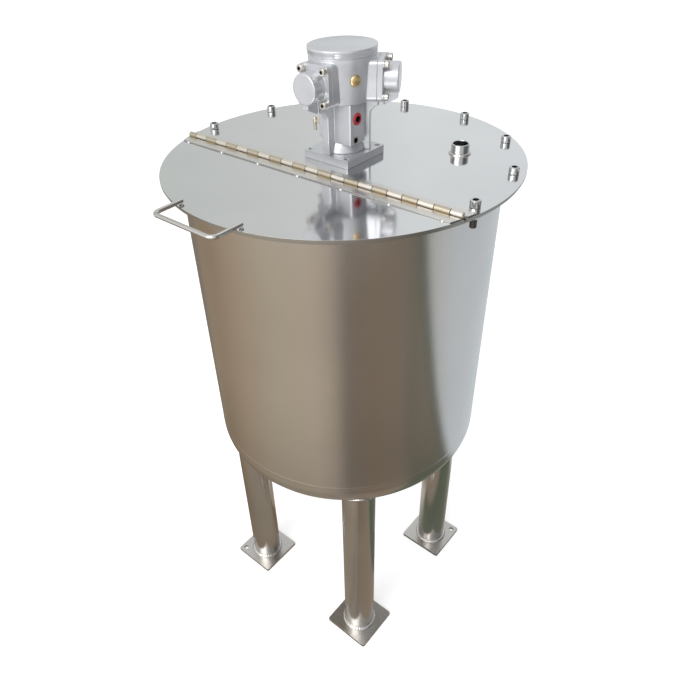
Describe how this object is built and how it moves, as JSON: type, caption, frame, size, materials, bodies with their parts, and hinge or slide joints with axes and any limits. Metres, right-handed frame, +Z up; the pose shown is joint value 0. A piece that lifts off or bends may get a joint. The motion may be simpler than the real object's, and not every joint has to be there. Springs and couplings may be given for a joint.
{
  "type": "mixing tank with air motor agitator",
  "caption": "Upright stainless steel mixing tank on pipe legs with foot plates, dished bottom, hinged lid flap with wire handle, and a radial piston air motor on the lid.",
  "frame": {"origin": "floor level under the middle of the part's bounding box, 21.5 mm in front of the tank's vertical axis because the flap's handle reaches past the lid", "axes": "+Z up along the tank's axis; hinge parallel to X; flap and handle towards -Y; inlet nozzle and air port towards +X"},
  "size_m": [0.68, 0.723, 1.395],
  "materials": {
    "shell_steel": "satin polished stainless sheet",
    "lid_steel": "bright polished stainless sheet",
    "leg_steel": "polished stainless tube, rod and plate",
    "hinge_steel": "bright rolled strip",
    "fastener_steel": "turned stainless",
    "painted_casting": "silver painted aluminium casting",
    "brass": "plain turned brass",
    "red_plastic": "matt red plastic"
  },
  "bodies": {
    "tank": {"tank_wall": "shell_steel", "tank_bottom": "shell_steel", "rim_flange": "shell_steel", "leg_front_left": "leg_steel", "leg_front_right": "leg_steel", "leg_rear_left": "leg_steel", "leg_rear_right": "leg_steel", "foot_plate_front_left": "leg_steel", "foot_plate_front_right": "leg_steel", "foot_plate_rear_left": "leg_steel", "foot_plate_rear_right": "leg_steel", "lid_rear": "lid_steel", "hinge_leaf_rear": "hinge_steel", "hinge_pin": "hinge_steel", "lid_bolt_1": "fastener_steel", "lid_bolt_2": "fastener_steel", "lid_bolt_3": "fastener_steel", "lid_bolt_4": "fastener_steel", "lid_bolt_5": "fastener_steel", "lid_bolt_6": "fastener_steel", "lid_bolt_7": "fastener_steel", "lid_bolt_8": "fastener_steel", "inlet_nozzle": "fastener_steel", "motor_base_plate": "painted_casting", "motor_column": "painted_casting", "motor_body": "painted_casting", "motor_top_cap": "painted_casting", "cylinder_cover_front": "painted_casting", "cylinder_cover_right": "painted_casting", "cylinder_cover_left": "painted_casting", "port_plug": "red_plastic", "breather_plug": "brass", "exhaust_fitting": "brass", "agitator_shaft": "fastener_steel", "agitator_impeller": "fastener_steel"},
    "flap": {"lid_flap": "lid_steel", "hinge_leaf_front": "hinge_steel", "flap_handle": "leg_steel"}
  },
  "joints": [
    {"name": "flap_hinge", "type": "hinge", "parent": "tank", "child": "flap", "pos_m": [0, -0.0765, 1.2053], "axis": [-1, 0, 0], "range_deg": [0, 85]}
  ]
}
